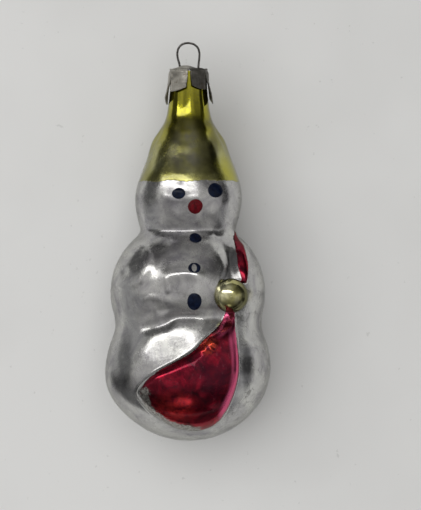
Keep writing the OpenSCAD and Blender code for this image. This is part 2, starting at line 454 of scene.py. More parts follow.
# ---------------------------------------------------------------- material helpers
class Nodes:
    """A short way to write the nodes of a material, or of the world."""

    def __init__(self, name, world=False):
        self.material = (bpy.data.worlds if world else bpy.data.materials).new(name)
        self.material.use_nodes = True
        self.tree = self.material.node_tree
        self.tree.nodes.clear()
        self.output = self.add("ShaderNodeOutputWorld" if world else "ShaderNodeOutputMaterial")
        self.place = self.add("ShaderNodeTexCoord").outputs["Generated" if world else "Object"]

    def add(self, kind, **values):
        made = self.tree.nodes.new(kind)
        for key, value in values.items():
            setattr(made, key, value)
        return made

    def link(self, source, target):
        self.tree.links.new(source, target)

    def noise(self, size_mm, detail=3.0, roughness=0.55, distortion=0.0, stretch=None):
        """Soft noise whose features are about size_mm across, as a value from 0 to 1."""
        noise = self.add("ShaderNodeTexNoise")
        noise.inputs["Scale"].default_value = 1 / (size_mm * MM)
        noise.inputs["Detail"].default_value = detail
        noise.inputs["Roughness"].default_value = roughness
        noise.inputs["Distortion"].default_value = distortion
        place = self.place
        if stretch:
            mapping = self.add("ShaderNodeMapping")
            mapping.inputs["Scale"].default_value = stretch
            self.link(self.place, mapping.inputs["Vector"])
            place = mapping.outputs[0]
        self.link(place, noise.inputs["Vector"])
        return noise.outputs["Fac"]

    def ramp(self, value, *stops):
        """Colours or grey levels along a value."""
        ramp = self.add("ShaderNodeValToRGB")
        while len(ramp.color_ramp.elements) < len(stops):
            ramp.color_ramp.elements.new(0.5)
        for element, (at, colour) in zip(ramp.color_ramp.elements, stops):
            element.position = at
            grey = isinstance(colour, (int, float))
            element.color = (colour, colour, colour, 1) if grey else (*colour, 1)
        self.link(value, ramp.inputs["Fac"])
        return ramp.outputs["Color"]

    def mix(self, factor, first, second, blend="MIX"):
        """Two colours, sockets or constants, mixed by a factor."""
        mix = self.add("ShaderNodeMix", data_type="RGBA", blend_type=blend)
        for socket, value in zip((mix.inputs[0], mix.inputs[6], mix.inputs[7]), (factor, first, second)):
            if isinstance(value, bpy.types.NodeSocket):
                self.link(value, socket)
            elif isinstance(value, (int, float)):
                socket.default_value = value
            else:
                socket.default_value = (*value, 1)
        return mix.outputs[2]

    def stain(self, colour, mask, strength, towards):
        """A colour drawn towards another where a mask is high."""
        return self.mix(self.math("MULTIPLY", mask, strength), colour, towards)

    def patch(self, colour, place, strength, towards, cloud=None):
        """A colour drawn towards another round a place, a tuple for near(), in clouds of noise if given."""
        mask = self.near(*place)
        if cloud:
            noise, low, high = cloud
            mask = self.math("MULTIPLY", mask, self.between(self.noise(*noise), low, high))
        return self.stain(colour, mask, strength, towards)

    def shader(self, kind, colour=None):
        """The output of a plain shader, in a colour or a socket's colour."""
        node = self.add(kind)
        if isinstance(colour, bpy.types.NodeSocket):
            self.link(colour, node.inputs["Color"])
        elif colour:
            node.inputs["Color"].default_value = (*colour, 1)
        return node.outputs[0]

    def mix_shader(self, factor, first, second):
        mix = self.add("ShaderNodeMixShader")
        for socket, value in zip(mix.inputs, (factor, first, second)):
            self.link(value, socket)
        return mix.outputs[0]

    def math(self, operation, *values):
        node = self.add("ShaderNodeMath", operation=operation)
        for socket, value in zip(node.inputs, values):
            if isinstance(value, bpy.types.NodeSocket):
                self.link(value, socket)
            else:
                socket.default_value = value
        return node.outputs[0]

    def between(self, value, low, high, to_low=0.0, to_high=1.0):
        """A value mapped smoothly from one range to another, and held at its ends."""
        ranged = self.add("ShaderNodeMapRange", interpolation_type="SMOOTHSTEP")
        for socket, number in zip(list(ranged.inputs)[1:5], (low, high, to_low, to_high)):
            socket.default_value = number
        self.link(value, ranged.inputs[0])
        return ranged.outputs[0]

    def axis(self, name):
        """One coordinate of the place on the object, in metres."""
        parts = self.add("ShaderNodeSeparateXYZ")
        self.link(self.place, parts.inputs[0])
        return parts.outputs[name]

    def near(self, centre_mm, inner_mm, outer_mm, squash=(1, 1, 1)):
        """1 within inner of a point and 0 beyond outer."""
        shift = self.add("ShaderNodeVectorMath", operation="SUBTRACT")
        self.link(self.place, shift.inputs[0])
        shift.inputs[1].default_value = [c * MM for c in centre_mm]
        scale = self.add("ShaderNodeVectorMath", operation="MULTIPLY")
        self.link(shift.outputs[0], scale.inputs[0])
        scale.inputs[1].default_value = squash
        length = self.add("ShaderNodeVectorMath", operation="LENGTH")
        self.link(scale.outputs[0], length.inputs[0])
        return self.between(length.outputs["Value"], inner_mm * MM, outer_mm * MM, 1.0, 0.0)

    def bump(self, height, strength, depth_mm, after=None):
        bump = self.add("ShaderNodeBump")
        bump.inputs["Strength"].default_value = strength
        bump.inputs["Distance"].default_value = depth_mm * MM
        self.link(height, bump.inputs["Height"])
        if after:
            self.link(after, bump.inputs["Normal"])
        return bump.outputs["Normal"]

    def principled(self, colour, roughness, normal=None, **constants):
        shader = self.add("ShaderNodeBsdfPrincipled")
        for socket, value in (("Base Color", colour), ("Roughness", roughness), ("Normal", normal)):
            if isinstance(value, bpy.types.NodeSocket):
                self.link(value, shader.inputs[socket])
            elif value is not None:
                shader.inputs[socket].default_value = value if isinstance(value, float) else (*value, 1)
        for socket, value in constants.items():
            shader.inputs[socket.replace("_", " ")].default_value = value
        self.link(shader.outputs[0], self.output.inputs["Surface"])


# painted dark reflections: cloudy dark patches on the belly's left and right sides
DARK_REFLECTIONS = [  # middle and squash of each dark patch
    ((-15.8, -12, -80.5), (1.5, 0.3, 0.42)),
    ((14.7, -15, -82.0), (2.5, 0.3, 0.52)),
]
# a dark grey used for painted shade and for painted dark reflections on the silver
SHADE_AND_REFLECTION_DARK = (0.10, 0.10, 0.105)
SILVER_PALE = (0.74, 0.74, 0.71)
SILVER_MID = (0.60, 0.595, 0.59)
SILVER_DULL = (0.36, 0.35, 0.375)


def crackle(n):
    """Fine broken lines where old silvering has crazed, as a mask."""
    cells = n.add("ShaderNodeTexVoronoi", feature="DISTANCE_TO_EDGE")
    cells.inputs["Scale"].default_value = 1 / (1.9 * MM)
    shift = n.add("ShaderNodeVectorMath", operation="MULTIPLY_ADD")
    wobble = n.add("ShaderNodeTexNoise")
    wobble.inputs["Scale"].default_value = 1 / (1.2 * MM)
    n.link(n.place, wobble.inputs["Vector"])
    n.link(wobble.outputs["Color"], shift.inputs[0])
    shift.inputs[1].default_value = (1.1 * MM, 1.1 * MM, 1.1 * MM)
    n.link(n.place, shift.inputs[2])
    n.link(shift.outputs[0], cells.inputs["Vector"])
    lines = n.between(cells.outputs["Distance"], 0.015, 0.06, 1.0, 0.0)
    return n.math("MULTIPLY", lines, n.between(n.noise(3.4, 4, 0.65), 0.50, 0.62))


def silver_colour(n):
    """Aged silvering: clouds of a violet-grey haze, with fine dark specks; painted shade in a recess beside
    the sack's mouth, and painted dark reflections on the belly's sides.
    """
    clouds = n.ramp(n.noise(7, 5, 0.62, 0.6), (0.32, SILVER_DULL), (0.50, SILVER_MID), (0.66, SILVER_PALE))
    specks = n.between(n.noise(0.8, 4, 0.7), 0.60, 0.74)
    colour = n.stain(clouds, specks, 0.55, (0.20, 0.19, 0.19))
    crazed = n.math("MULTIPLY", crackle(n), n.between(n.axis("X"), 0.002, 0.015, 0.25, 0.70))
    colour = n.mix(crazed, colour, (0.17, 0.165, 0.16))
    # painted shade: a dark patch in the recess between the chest and the crescent of the sack's mouth
    recess_shade = ((11.6, -14.0, -55.2), 0.6, 2.8, (1, 0.35, 0.45))
    colour = n.patch(colour, recess_shade, 0.85, SHADE_AND_REFLECTION_DARK)
    clouded = n.between(n.noise(1.8, 4), 0.25, 0.5, 0.30, 0.68)
    # painted dark reflections on the belly's sides
    for centre, squash in DARK_REFLECTIONS:
        patch = n.near(centre, 1.6, 4.0, squash)
        colour = n.mix(n.math("MULTIPLY", patch, clouded), colour, SHADE_AND_REFLECTION_DARK)
    return colour


def silver_roughness(n):
    return n.between(n.noise(4.5, 6, 0.7, 0.4), 0.3, 0.72, 0.13, 0.36)


def silver_bump(n):
    fine = n.bump(n.noise(0.7, 3, 0.6), 0.25, 0.05)
    return n.bump(n.noise(3.2, 2, 0.5), 0.55, 0.10, fine)


GLAZE = dict(
    Metallic=1.0, Coat_Weight=0.4, Coat_Roughness=0.03, Coat_IOR=1.45, Specular_Tint=(0.42, 0.42, 0.40, 1)
)
HAT_GLAZE = {**GLAZE, "Coat_Weight": 1.0}


def silver_material():
    n = Nodes("aged_silvering")
    overspill = (MITTEN_OUT * math.sin(math.radians(MITTEN_TURN)) + 4.6, -16, MITTEN_Z)
    colour = n.patch(silver_colour(n), (overspill, 0.3, 2.6, (1, 0.4, 0.8)), 0.40, (0.66, 0.62, 0.22))
    n.principled(colour, silver_roughness(n), silver_bump(n), **GLAZE)
    return n.material


def hat_material():
    """Yellow lacquer, thinner and greyer on the middle of the hat, with a soft edge at the brim, painted shade
    at the foot of the neck and a painted dark reflection down its right side.
    """
    n = Nodes("yellow_lacquer")
    thick = n.ramp(
        n.noise(5, 4, 0.55),
        (0.30, (0.20, 0.18, 0.004)), (0.52, (0.36, 0.33, 0.006)), (0.72, (0.54, 0.51, 0.02))
    )
    pale = n.ramp(
        n.noise(6, 4, 0.6),
        (0.32, (0.25, 0.235, 0.05)), (0.52, (0.40, 0.385, 0.13)), (0.70, (0.56, 0.55, 0.27))
    )
    low = n.math("ADD", n.axis("Z"), n.math("MULTIPLY", n.noise(7, 3), 0.008))
    colour = n.mix(n.between(low, -0.024, -0.017), pale, thick)
    # painted shade at the foot of the neck, and a painted dark reflection down the right of the hat
    neck_painted_shade = n.near((0, -6, -20.8), 1.2, 3.9, (0.42, 0.3, 1.3))
    side_painted_reflection = n.near((6.4, -7.5, -27.0), 0.9, 3.0, (1.5, 0.3, 0.32))
    painted_darkening = n.math("MAXIMUM", neck_painted_shade, side_painted_reflection)
    colour = n.stain(colour, painted_darkening, 0.72, (0.075, 0.070, 0.010))
    foot = ((10.5, -6, -32.5), 1.0, 5.0, (1, 0.5, 0.8))
    colour = n.patch(colour, foot, 0.7, (0.55, 0.52, 0.02))
    haze = ((-0.5, -9, -27.5), 2.5, 7.5, (1.1, 0.6, 0.85))
    colour = n.patch(colour, haze, 0.80, (0.235, 0.225, 0.19), ((3.5, 4), 0.30, 0.62))
    neck = n.between(n.axis("Z"), -0.021, -0.015)
    matt = n.between(n.noise(4, 5, 0.6), 0.3, 0.7, 0.12, 0.30)
    roughness = n.math("MULTIPLY", matt, n.math("SUBTRACT", 1.0, n.math("MULTIPLY", neck, 0.6)))
    n.principled(colour, roughness, silver_bump(n), **HAT_GLAZE)
    return n.material


# painted light on the sack's coat: a bright painted reflection low down, a painted dark reflection at the
# right, a painted highlight above
SACK_PAINTED_LIGHT = [  # place, strength, colour and cloud of the low glow, the dusk at the right, the glow above
    (((-3.2, -19, -92.0), 1.0, 6.5, (0.8, 0.4, 1.1)), 0.85, (0.86, 0.040, 0.045), ((2.6, 4), 0.34, 0.58)),
    (((7.2, -19, -83.5), 2.0, 8.0, (1, 0.4, 0.8)), 0.75, (0.075, 0.0008, 0.016), ((3, 4), 0.30, 0.55)),
    (((5.0, -20, -76.4), 0.5, 3.4, (1, 0.4, 1)), 0.85, (0.86, 0.090, 0.035), ((1.8, 3, 0.5, 2.0), 0.38, 0.56)),
]


def red_material(name, worn):
    """Crimson lacquer over silver, thick and dark in the middle, worn through in specks at its edge; on the
    sack, painted reflections, a painted highlight, and a painted pink reflection at its right edge and throat.
    """
    n = Nodes(name)
    colour = n.ramp(
        n.noise(4.5, 5, 0.6, 0.9),
        (0.34, (0.055, 0.0004, 0.008)), (0.50, (0.20, 0.0016, 0.018)), (0.68, (0.46, 0.008, 0.035))
    )
    if worn:
        # painted reflections and a painted highlight
        for patch in SACK_PAINTED_LIGHT:
            colour = n.patch(colour, *patch)
        # painted reflection: pink at the sack's right edge and throat
        painted_pink_reflection = n.add("ShaderNodeAttribute", attribute_name="painted_pink_reflection").outputs["Fac"]
        colour = n.mix(painted_pink_reflection, colour, (0.86, 0.12, 0.28))
    scratches = n.between(n.noise(0.9, 5, 0.75, 1.5, (1, 1, 0.45)), 0.60, 0.70)
    scuffed = n.math("MULTIPLY", scratches, 0.22)
    colour = n.mix(scuffed, colour, (0.78, 0.32, 0.40))
    if worn:
        edge = n.add("ShaderNodeAttribute", attribute_name="worn").outputs["Fac"]
        grain = n.math("ADD", n.noise(1.5, 4, 0.6), n.noise(0.42, 4, 0.7, 0.8))
        wear = n.math("ADD", n.math("MULTIPLY", edge, 0.85), n.math("MULTIPLY", grain, 0.75))
        bare = n.between(wear, 1.40, 1.50)
        flake = n.between(n.noise(0.38, 4, 0.6, 1.2), 0.44, 0.56)
        colour = n.mix(bare, colour, n.mix(flake, (0.62, 0.60, 0.56), (0.10, 0.085, 0.08)))
    n.principled(colour, n.between(n.noise(3, 5, 0.6), 0.3, 0.7, 0.10, 0.30), silver_bump(n), **GLAZE)
    return n.material


def gold_material():
    n = Nodes("gold_lacquer")
    colour = n.ramp(
        n.noise(2.5, 4),
        (0.32, (0.40, 0.37, 0.13)), (0.55, (0.58, 0.55, 0.25)), (0.72, (0.66, 0.64, 0.42))
    )
    way = math.radians(MITTEN_TURN)
    front = (MITTEN_OUT * math.sin(way) - 2.1, -MITTEN_OUT * math.cos(way) - 2.9, MITTEN_Z + 1.3)
    # painted highlight: pale on the ball's upper left front
    colour = n.mix(n.near(front, 1.4, 3.4), colour, (0.92, 0.89, 0.56))
    # painted shade: the ball darkens away from that highlight
    painted_shade_side = n.between(n.near(front, 3.4, 5.8), 0.0, 1.0, 0.85, 0.0)
    colour = n.mix(painted_shade_side, colour, (0.10, 0.095, 0.045))
    n.principled(colour, n.between(n.noise(2, 4), 0.3, 0.7, 0.08, 0.2), silver_bump(n), **GLAZE)
    return n.material


def enamel_material(name, deep, light):
    """A thick dab of enamel with brush marks and a gloss worn matt in places."""
    n = Nodes(name)
    colour = n.ramp(n.noise(1.1, 4, 0.6), (0.35, deep), (0.75, light))
    normal = n.bump(n.noise(0.5, 3), 0.5, 0.06)
    roughness = n.between(n.noise(0.8, 3), 0.3, 0.7, 0.16, 0.42)
    n.principled(colour, roughness, normal, Coat_Weight=0.10, Coat_Roughness=0.05, Specular_IOR_Level=0.12)
    return n.material


def tin_material():
    """Old tinned sheet: dull, scratched along Z, with brown stains; painted lighter on its left side and
    painted shade on its right.
    """
    n = Nodes("aged_tin")
    base = n.ramp(
        n.noise(1.6, 6, 0.7),
        (0.28, (0.10, 0.09, 0.075)), (0.50, (0.26, 0.245, 0.215)), (0.72, (0.44, 0.42, 0.37))
    )
    streaks = n.between(n.noise(0.35, 4, 0.6, 0.0, (1, 1, 0.12)), 0.45, 0.7)
    colour = n.stain(base, streaks, 0.4, (0.62, 0.60, 0.56))
    # painted light on the left side of the cap, and painted shade on its right
    colour = n.mix(n.between(n.axis("X"), -0.0008, 0.0006, 0.45, 0.0), colour, (0.52, 0.50, 0.44))
    colour = n.mix(n.between(n.axis("X"), 0.0, 0.001, 0.0, 0.75), colour, (0.055, 0.052, 0.045))
    stain = n.between(n.noise(2.2, 5, 0.7), 0.56, 0.68)
    colour = n.stain(colour, stain, 0.7, (0.10, 0.07, 0.045))
    normal = n.bump(n.noise(0.5, 4), 0.5, 0.08)
    n.principled(colour, n.between(n.noise(0.9, 4), 0.3, 0.7, 0.30, 0.62), normal, Metallic=0.85)
    return n.material


def wire_material():
    n = Nodes("dark_wire")
    colour = n.ramp(n.noise(0.6, 5, 0.7), (0.35, (0.045, 0.042, 0.04)), (0.65, (0.20, 0.19, 0.18)))
    roughness = n.between(n.noise(0.5, 3), 0.3, 0.7, 0.16, 0.4)
    n.principled(colour, roughness, n.bump(n.noise(0.2, 3), 0.4, 0.03), Metallic=1.0)
    return n.material


def clear_glass_material():
    n = Nodes("clear_glass")
    roughness = n.between(n.noise(1.0, 3), 0.3, 0.7, 0.02, 0.10)
    normal = n.bump(n.noise(0.8, 2), 0.2, 0.02)
    n.principled((0.86, 0.90, 0.88), roughness, normal, IOR=1.5, Transmission_Weight=0.9)
    return n.material


# ---------------------------------------------------------------- the glass body and its coats
def outer_grid():
    """The outside of the glass, from the lip down to the last row above the bottom."""
    z, phi = np.meshgrid(PROFILE[:-1, 1], around(COLUMNS), indexing="ij")
    return on_glass(phi, z)


def inner_grid():
    """The inside of the wall, from the bottom up to the lip, a plain body of revolution."""
    line = resample(PROFILE, INNER_ROWS)[::-1][1:]
    below_neck = smooth(-line[:, 1], 16, 24)
    r = line[:, 0] - BODY_WALL * below_neck - WALL * (1 - below_neck)
    r = np.maximum(r, INNER_POLE_R)
    z = np.maximum(line[:, 1], BOTTOM_Z + BOTTOM_WALL)
    return on_circle(r[:, None], around(COLUMNS), z[:, None])


def glass_body(outer):
    """The silvered body: the outside, the inside, and the lip between them."""
    inner = inner_grid()
    rows, inner_rows = len(outer), len(inner)
    poles = [[0, 0, BOTTOM_Z], [0, 0, BOTTOM_Z + WALL]]
    points = np.vstack([outer.reshape(-1, 3), poles, inner.reshape(-1, 3)])
    pole, inner_pole = rows * COLUMNS, rows * COLUMNS + 1
    start = inner_pole + 1
    faces = grid_faces(rows, COLUMNS).tolist()
    faces += fan_faces((rows - 1) * COLUMNS + np.arange(COLUMNS), pole, True)
    faces += fan_faces(start + np.arange(COLUMNS), inner_pole, False)
    faces += grid_faces(inner_rows, COLUMNS, start).tolist()
    faces += band_faces(start + (inner_rows - 1) * COLUMNS, 0, COLUMNS)
    stood_for = ("silver_film", "glass_shell")
    make_object("silvered_body", points, faces, silver_material(), "glass", stood_for)


def coat_patch(outer, field_of, rows):
    """The triangles of part of the glass where a field is above 0."""
    part = outer[rows]
    quads = grid_faces(len(part), COLUMNS)
    points = part.reshape(-1, 3)
    return clipped(points, split(quads), field_of(points))


def grid_rows(high, low):
    """The rows of the outer grid between two heights."""
    z = PROFILE[:-1, 1]
    return slice(int(np.searchsorted(-z, -high)), int(np.searchsorted(-z, -low)))


def angles(points):
    """The angle round the axis, the height and the radius of each point."""
    return np.arctan2(points[:, 0], -points[:, 1]), points[:, 2], np.hypot(points[:, 0], points[:, 1])


def ragged(points, height, seed):
    """A small smooth wobble for the painted edges."""
    draw = np.random.default_rng(seed)
    total = np.zeros(len(points))
    for length in (7.0, 3.1, 1.3):
        for _ in range(4):
            direction = draw.normal(size=3)
            direction /= np.linalg.norm(direction)
            wave = points @ direction * 2 * math.pi / length + draw.uniform(0, 2 * math.pi)
            total += np.sin(wave) * height * (length / 7.0) ** 0.6 / 2
    return total


def hat_field(points):
    return points[:, 2] - BRIM_Z + ragged(points, 0.18, 3)


def sack_field(points):
    phi, z, r = angles(points)
    return sack_depth(phi, z, r) + 0.1 + 0.3 * smooth(points[:, 0], 5, 10) + ragged(points, 0.07, 5)


def mouth_field(points):
    phi, z, r = angles(points)
    return mouth_depth(phi, z, r) - 0.1 + ragged(points, 0.10, 7)


def coat(name, outer, field_of, span, material, replaces):
    """One coat of lacquer, as a closed thin shell that lies on the glass."""
    points, faces = coat_patch(outer, field_of, grid_rows(*span))
    both, skin = shell(points, faces, 0.07, 0.05)
    return make_object(name, both, skin, material, "glass", replaces), both


def add_wear(piece, points):
    """Where the sack's lacquer is worn, at its lower left edge, and where a pink reflection is painted, at its
    right edge and throat.
    """
    phi, z, r = angles(points)
    depth = sack_depth(phi, z, r * 0.95)
    tip = hill(np.hypot(points[:, 0] + 10.6, z + 88.0), 1.7)
    low = smooth(-z, 92.0, 95.0) * smooth(3.0 - depth, 0, 2.3) * smooth(6 - points[:, 0], 0, 4)
    left = smooth(2.8 - depth, 0, 2.2) * smooth(-points[:, 0], 1, 5) * smooth(-z, 87, 90)
    worn = np.clip(tip + np.maximum(low, left), 0, 1)
    # painted pink reflection at the right edge and throat
    right = smooth(2.2 - depth, 0, 0.9) * smooth(points[:, 0], 7.0, 9.0) * smooth(-z, 71, 74)
    throat = 0.6 * smooth(z, -72.5, -69.5)
    painted_pink_reflection = np.clip(0.85 * right + throat, 0, 1)
    for name, value in (("worn", worn), ("painted_pink_reflection", painted_pink_reflection)):
        layer = piece.data.attributes.new(name, "FLOAT", "POINT")
        layer.data.foreach_set("value", value.astype(np.float32))


def glass_lip():
    """The clear edge of the cut neck, a little ring above the silvering."""
    tall, rings, columns = 0.5, 12, 96
    a = around(rings)
    half = WALL / 2
    r = NECK_R - half + half * np.cos(a)
    z = LIP_Z - tall / 2 + tall / 2 * np.sin(a)
    points = on_circle(r[:, None], around(columns), z[:, None]).reshape(-1, 3)
    faces = grid_faces(rings, columns).tolist() + band_faces((rings - 1) * columns, 0, columns)
    make_object("glass_lip", points, faces, clear_glass_material(), "glass")


def mitten():
    """The ball-shaped mitten: a ball a little uneven, sunk into the torso."""
    rows, columns = 64, 96
    turn = math.radians(MITTEN_TURN)
    centre = np.array([MITTEN_OUT * math.sin(turn), -MITTEN_OUT * math.cos(turn), MITTEN_Z])
    tilt = np.linspace(0.02, math.pi - 0.02, rows)
    t, p = np.meshgrid(tilt, around(columns), indexing="ij")
    way = np.stack([np.sin(t) * np.sin(p), np.cos(t), np.sin(t) * np.cos(p)], -1)
    r = MITTEN_R * (1 + 0.010 * np.sin(3 * way[..., 0] + 1) + 0.008 * np.sin(4 * way[..., 2] + 2))
    ball = (centre + way * r[..., None]).reshape(-1, 3)
    points = np.vstack([ball, [centre + [0, MITTEN_R, 0]], [centre - [0, MITTEN_R, 0]]])
    faces = grid_faces(rows, columns).tolist()
    faces += fan_faces(np.arange(columns), rows * columns, False)
    faces += fan_faces((rows - 1) * columns + np.arange(columns), rows * columns + 1, True)
    make_object("mitten_ball", points, faces, gold_material(), "glass", ("mitten_lacquer",))


DABS = [  # name, CAD node, middle seen from the front, width, height, paint, depth of a bare middle
    ("eye_left", "left_eye", -2.4, -38.5, 3.5, 2.9, "navy_enamel", 0.0),
    ("eye_right", "right_eye", 6.9, -37.7, 3.8, 3.8, "navy_enamel", 0.0),
    ("nose_dab", "nose", 1.8, -41.8, 3.8, 3.8, "red_enamel", 0.0),
    ("button_upper", "button_top", 1.8, -49.7, 3.2, 2.5, "navy_enamel", 0.0),
    ("button_centre", "button_middle", 1.6, -57.2, 3.3, 2.9, "navy_enamel", 0.36),
    ("button_lower", "button_bottom", 1.6, -65.6, 3.7, 4.4, "navy_enamel", 0.0),
]
DAB_RISE = 0.34
DAB_SUNK, DAB_ROOT = 0.04, 0.18  # how far a dab's edge and its underside lie below the glass


def dab(name, x, z, width, height, material, replaces, seed, bare):
    """A dab of thick enamel with an uneven outline, domed over the glass, and hollow where it is bare."""
    draw = np.random.default_rng(seed)
    rings, spokes = 10, 48
    a = around(spokes)
    wobble = 1 + sum(
        draw.uniform(-1, 1) * 0.05 / k * np.cos(k * a + draw.uniform(0, 6.28)) for k in (2, 3, 4, 5)
    )
    rho = np.linspace(1, 1 / rings, rings)[:, None]
    u = rho * wobble * width / 2 * np.cos(a)
    v = rho * wobble * height / 2 * np.sin(a)
    guess = math.asin(x / 14)
    r0 = radius_at(np.array([guess]), np.array([z]))[0]
    middle = math.asin(x / r0)
    u = np.append(u.ravel(), 0)
    v = np.append(v.ravel(), 0)
    phi = middle + u / (r0 * math.cos(middle))
    edge = 1 - np.append((rho * np.ones(spokes)).ravel(), 0) ** 2
    skin = on_glass(phi, z + v)
    step = 0.05
    side = on_glass(phi + step / r0, z + v) - skin
    up = on_glass(phi, z + v + step) - skin
    normal = np.cross(side, up)
    normal /= np.linalg.norm(normal, axis=1, keepdims=True)
    brushed = 1 + 0.12 * np.sin(2.1 * u + seed)
    dome = DAB_RISE * np.sqrt(np.maximum(edge, 0)) * brushed - bare * hill(np.hypot(u, v), width / 4)
    top = skin + normal * (dome - DAB_SUNK)[:, None]
    bottom = skin - normal * DAB_ROOT
    n = len(top)
    faces = [tuple(f) for f in grid_faces(rings, spokes)]
    faces += fan_faces((rings - 1) * spokes + np.arange(spokes), n - 1, True)
    under = [tuple(i + n for i in reversed(f)) for f in faces]
    rim = [f[::-1] for f in band_faces(n, 0, spokes)]
    points = np.vstack([top, bottom])
    make_object(name, points, faces + under + rim, material, "glass", replaces)


# ---------------------------------------------------------------- cap and hanger
TIN = 0.22
PETALS = [  # turn, half width in degrees, tip z, flare at the tip and its bend, lean, curl, skew of the tip
    (-31, 28.5, -12.1, 0.75, 1.8, 0.15, 0.10, 0.9),
    (31, 25.5, -11.6, 0.25, 1.8, -0.10, 0.25, -0.5),
    (86, 29.0, -14.9, 0.95, 0.8, -0.55, 0.10, 0.3),
    (150, 26.5, -13.6, 0.8, 1.4, 0.0, 0.2, 0.2),
    (-150, 27.0, -14.0, 0.9, 1.4, 0.0, 0.1, -0.3),
    (-86, 29.0, -14.9, 0.85, 0.8, 0.50, 0.15, 0.2),
]
CROWN_R = 4.85
CROWN_LIFT = 0.12  # gap between the lip and the cap's top
SLOT_X, SLOT_LENGTH, SLOT_WIDTH = 2.65, 1.7, 0.75


def crown_top(x, y):
    """The height of the cap's tented top."""
    ridge = 0.85 * hill(x + 0.9, 1.9) * smooth(CROWN_R - np.hypot(x, y), 0, 3.2)
    return LIP_Z + CROWN_LIFT + ridge + 0.08 * np.sin(1.9 * y + 0.8 * x)


def cap_top():
    """The disc of the crown, cut through for the two legs of the wire."""
    rings, spokes = 48, 160
    a = around(spokes)
    r = np.linspace(CROWN_R, 0.1, rings)[:, None]
    x, y = (r * np.sin(a)).ravel(), (-r * np.cos(a)).ravel()
    x, y = np.append(x, 0), np.append(y, 0)
    points = np.column_stack([x, y, crown_top(x, y)])
    quads = grid_faces(rings, spokes)
    pole = fan_faces((rings - 1) * spokes + np.arange(spokes), rings * spokes, True)
    faces = np.vstack([split(quads), np.array(pole)])
    up = triangle_normals(points, faces)[0][2] > 0
    faces = faces if up else faces[:, ::-1]
    slot = np.maximum(np.abs(np.abs(x) - SLOT_X) - SLOT_LENGTH / 2, np.abs(y) - SLOT_WIDTH / 2)
    points, faces = clipped(points, faces, slot)
    return shell(points, faces, TIN, 0)


def petal(turn, half, tip_z, flare, bend, lean, curl, skew, seed):
    """One bent petal of the crown: a strip of tin that folds down over the neck."""
    rows, columns = 34, 22
    draw = np.random.default_rng(seed)
    dents = [
        (draw.uniform(0.15, 0.95), draw.uniform(-0.8, 0.8), draw.uniform(-0.13, 0.13)) for _ in range(5)
    ]
    s, w = np.meshgrid(np.linspace(0, 1, rows), np.linspace(-1, 1, columns), indexing="ij")
    start_z = LIP_Z + CROWN_LIFT
    width = half * (1 - 0.22 * smooth(s, 0.15, 1.0))
    angle = np.radians(turn + w * width + skew * 4 * s)
    slant = 1 - 0.10 * (w * np.sign(skew)) * smooth(s, 0.5, 1)
    z = start_z - (start_z - tip_z) * s * slant + 0.25 * smooth(s, 0.6, 1) * w ** 2
    r = CROWN_R + 0.30 * smooth(s, 0, 0.12) - 0.22 * hill(s - 0.30, 0.2) + flare * s ** bend
    flat = 0.65 * (1 / np.maximum(np.cos(np.radians(w * width)), 0.5) - 1) * CROWN_R * 0.8
    r = r + flat * smooth(s, 0.1, 0.6) + lean * w * s + curl * w ** 2 * s
    for at, across, deep in dents:
        r = r + deep * hill(np.hypot((s - at) * 4, (w - across) * 1.6), 0.6) * smooth(s, 0, 0.2)
    outer = on_circle(r, angle, z).reshape(-1, 3)
    inner = on_circle(r - TIN, angle, z).reshape(-1, 3)
    n = rows * columns
    faces = [tuple(f) for f in grid_faces(rows, columns, 0, False)]
    under = [tuple(i + n for i in reversed(f)) for f in faces]
    loop = list(range(columns)) + [i * columns + columns - 1 for i in range(1, rows)]
    loop += [(rows - 1) * columns + j for j in range(columns - 2, -1, -1)]
    loop += [i * columns for i in range(rows - 2, 0, -1)]
    rim = [(b, a, a + n, b + n) for a, b in zip(loop, loop[1:] + loop[:1])]
    return np.vstack([outer, inner]), faces + under + rim


def crown_cap():
    """The cap's top and its six petals, each petal a piece of its own."""
    tin = tin_material()
    points, faces = cap_top()
    make_object("cap_top", points, faces, tin, "cap", ("cap",))
    for i, shape in enumerate(PETALS):
        points, faces = petal(*shape, seed=20 + i)
        make_object(f"cap_petal_{i + 1}", points, faces, tin, "cap")


WIRE_R = 0.275


def wire_path():
    """The middle line of the wire: a leg, the loop bent by hand, and the other leg."""
    low, high = node_box("hanger_wire")
    top = high[2] - WIRE_R
    leg = low[2] + WIRE_R
    left = [(-3.1, leg), (-2.55, -12.0), (-2.15, -7.2), (-2.35, -5.2), (-2.78, -3.6), (-2.88, -2.4)]
    arc = [(-2.55, -1.0), (-1.6, -0.05), (-0.2, top), (1.3, -0.05), (2.35, -0.95), (2.75, -2.3)]
    right = [(2.72, -3.7), (2.55, -5.2), (2.45, -7.2), (2.7, -12.0), (3.1, leg)]
    line = spline(left + arc + right, 260)
    y = 0.10 * np.sin(line[:, 1] * 0.9) * smooth(line[:, 1], -7, -3)
    return np.column_stack([line[:, 0], y, line[:, 1]])


def hanger():
    """The wire, swept along its middle line and closed at both ends."""
    path = wire_path()
    rings = 14
    along = np.gradient(path, axis=0)
    along /= np.linalg.norm(along, axis=1, keepdims=True)
    side = np.array([0.0, 1.0, 0.0])
    across = np.cross(along, side)
    across /= np.linalg.norm(across, axis=1, keepdims=True)
    other = np.cross(across, along)
    a = around(rings)[None, :, None]
    ring = across[:, None, :] * np.cos(a) + other[:, None, :] * np.sin(a)
    points = (path[:, None, :] + WIRE_R * ring).reshape(-1, 3)
    n = len(points)
    points = np.vstack([points, path[:1], path[-1:]])
    faces = [tuple(f) for f in grid_faces(len(path), rings)]
    faces += fan_faces(np.arange(rings), n, False)
    faces += fan_faces(n - rings + np.arange(rings), n + 1, True)
    make_object("hanger_loop", points, faces, wire_material(), "hanger", ("hanger_wire",))


